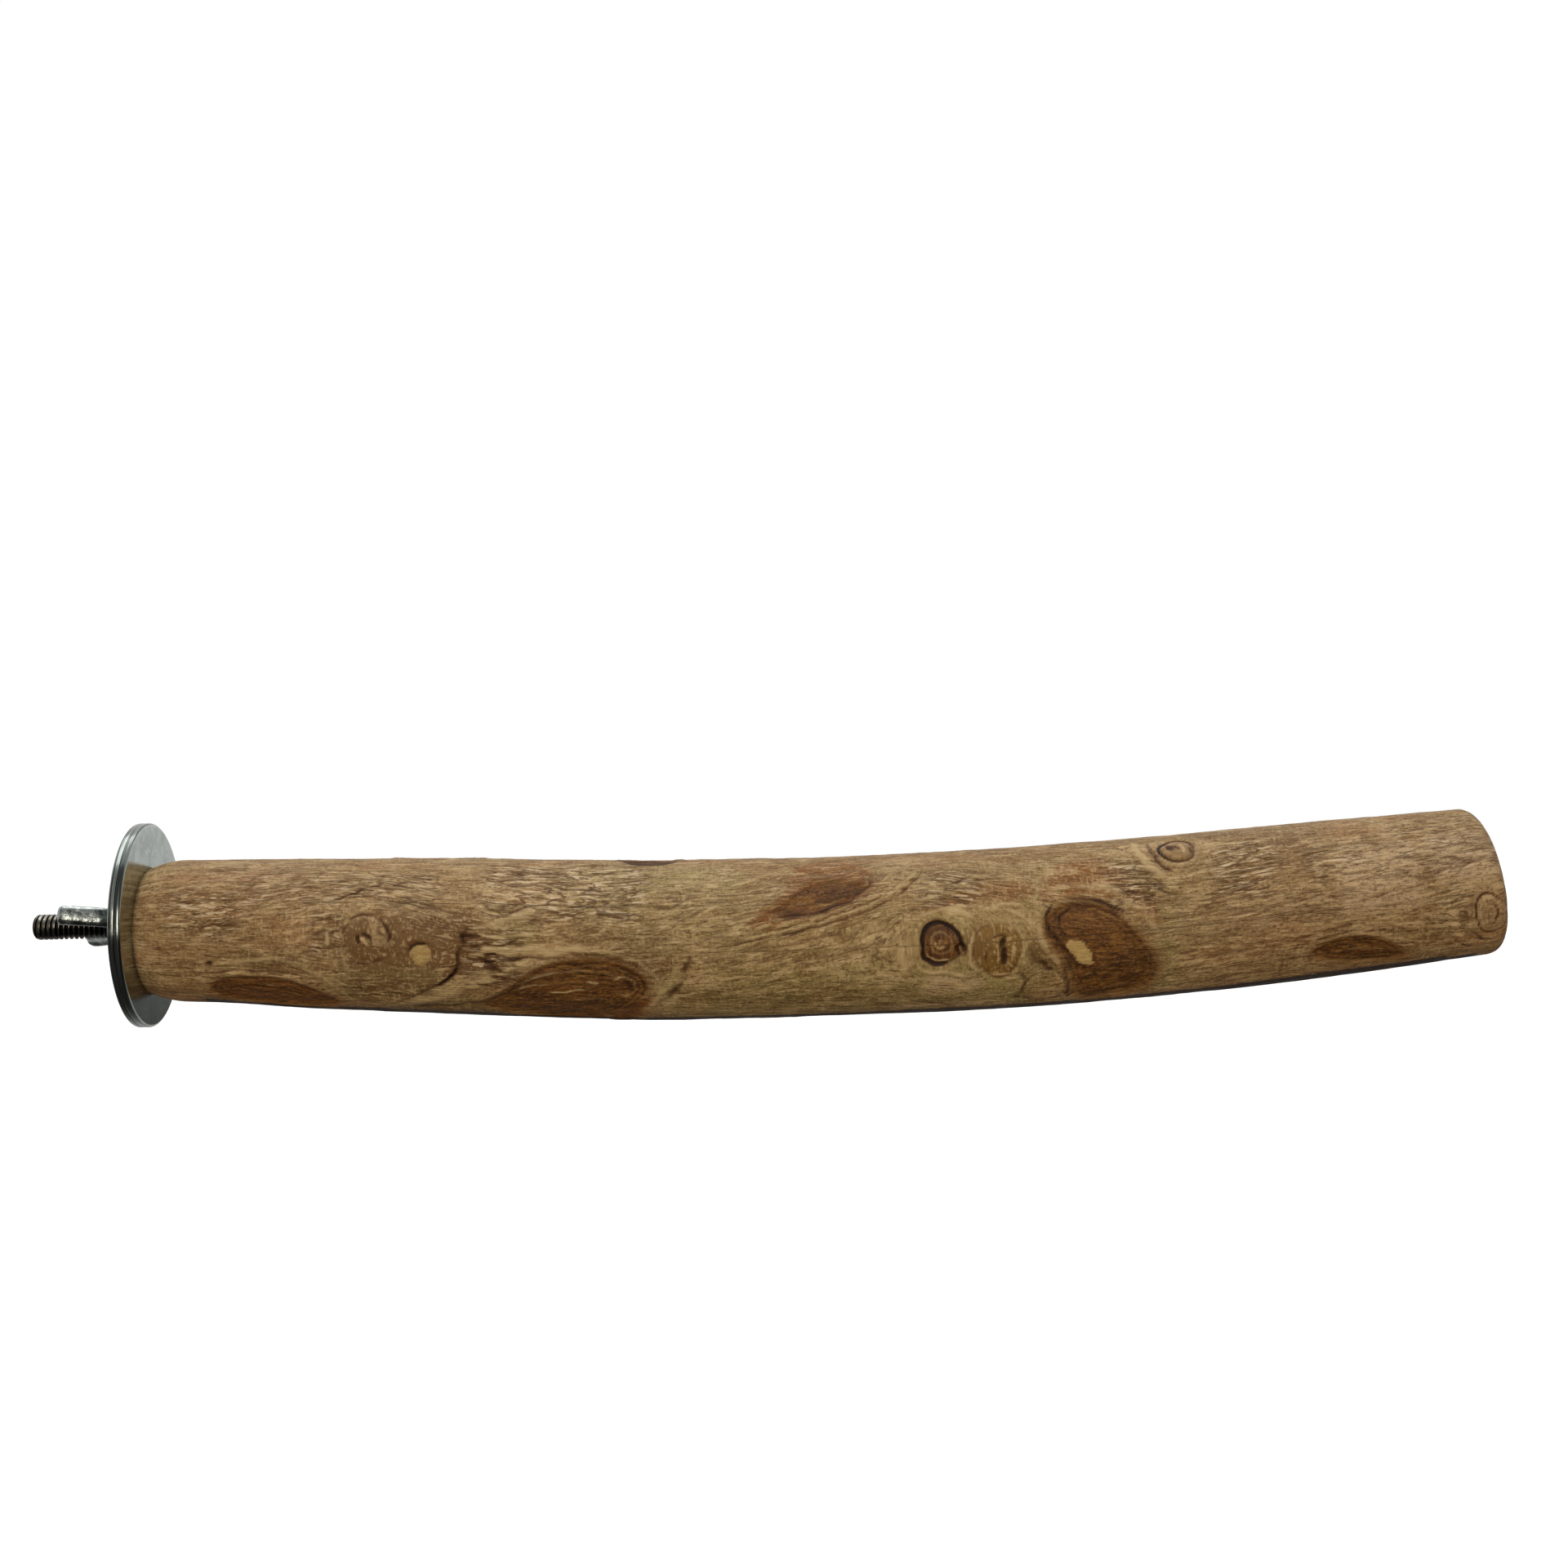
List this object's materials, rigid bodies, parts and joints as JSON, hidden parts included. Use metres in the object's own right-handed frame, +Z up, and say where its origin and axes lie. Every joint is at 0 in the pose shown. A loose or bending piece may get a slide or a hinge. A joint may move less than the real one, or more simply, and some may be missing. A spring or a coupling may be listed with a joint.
{
  "type": "bolt-on bird perch",
  "caption": "Gently curved debarked branch with a threaded stud, fender washers and a wing nut that clamp it to cage wires.",
  "frame": {"origin": "on the bolt's axis, on the inner washer's face that bears on the cage wires, where the two washers meet", "axes": "+X along the bolt from the cage into the branch, +Z up as the perch hangs in the cage, -Y the side shown in the picture"},
  "size_m": [0.3639, 0.0508, 0.0521],
  "materials": {
    "wood": "debarked hardwood, sanded, unvarnished",
    "plated_steel": "bright zinc plate",
    "cast_zinc": "rough casting, plated"
  },
  "bodies": {
    "perch": {"branch": "wood", "hanger_bolt": "plated_steel"},
    "inner_washer": {"inner_washer": "plated_steel"},
    "outer_washer": {"outer_washer": "plated_steel"},
    "wing_nut": {"wing_nut": "cast_zinc"}
  },
  "joints": [
    {"name": "inner_washer_spin", "type": "hinge", "parent": "perch", "child": "inner_washer", "pos_m": [0.0008, 0, 0], "axis": [1, 0, 0], "continuous": true},
    {"name": "outer_washer_slide", "type": "slide", "parent": "perch", "child": "outer_washer", "axis": [-1, 0, 0], "range_m": [0, 0.0254]},
    {"name": "nut_spin", "type": "hinge", "parent": "outer_washer", "child": "wing_nut", "pos_m": [-0.0016, 0, 0], "axis": [-1, 0, 0], "range_deg": [0, 7200]}
  ],
  "couplings": [
    {"joint": "nut_spin", "follows": "outer_washer_slide", "rad_per_m": 4947.4}
  ]
}
